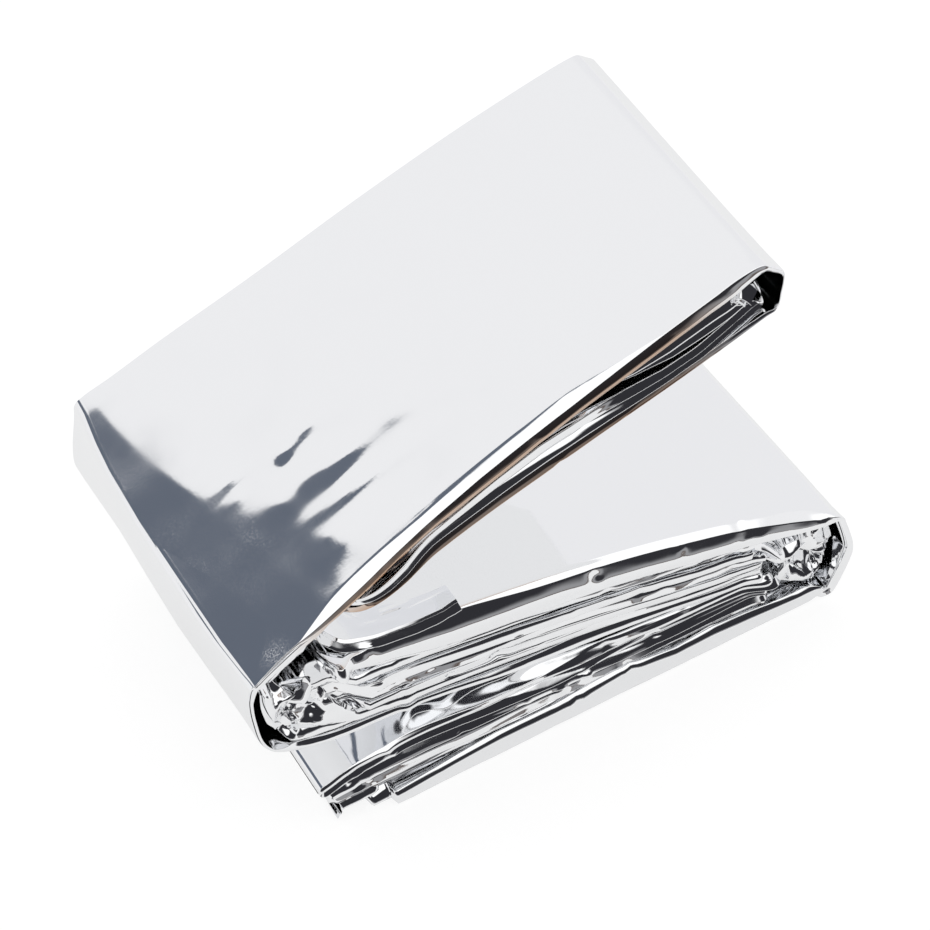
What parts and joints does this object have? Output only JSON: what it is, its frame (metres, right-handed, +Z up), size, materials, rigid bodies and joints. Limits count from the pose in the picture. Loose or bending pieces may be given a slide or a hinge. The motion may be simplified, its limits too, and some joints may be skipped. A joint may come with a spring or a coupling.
{
  "type": "emergency foil blanket",
  "caption": "Metallised film emergency blanket folded into a small packet that has sprung open, its top leaf raised from the spine over a thicker lower pair of leaves.",
  "frame": {"origin": "centre of the packet's outline on the surface it rests on", "axes": "+X along the packet, from its spine towards the free nose; +Y from the near folded edges to the far ones; +Z up"},
  "size_m": [0.1318, 0.0848, 0.0944],
  "materials": {
    "metallised_film": "bright mirror-like metallised plastic film"
  },
  "bodies": {
    "root": {"foil_sheet": "metallised_film"}
  },
  "joints": []
}
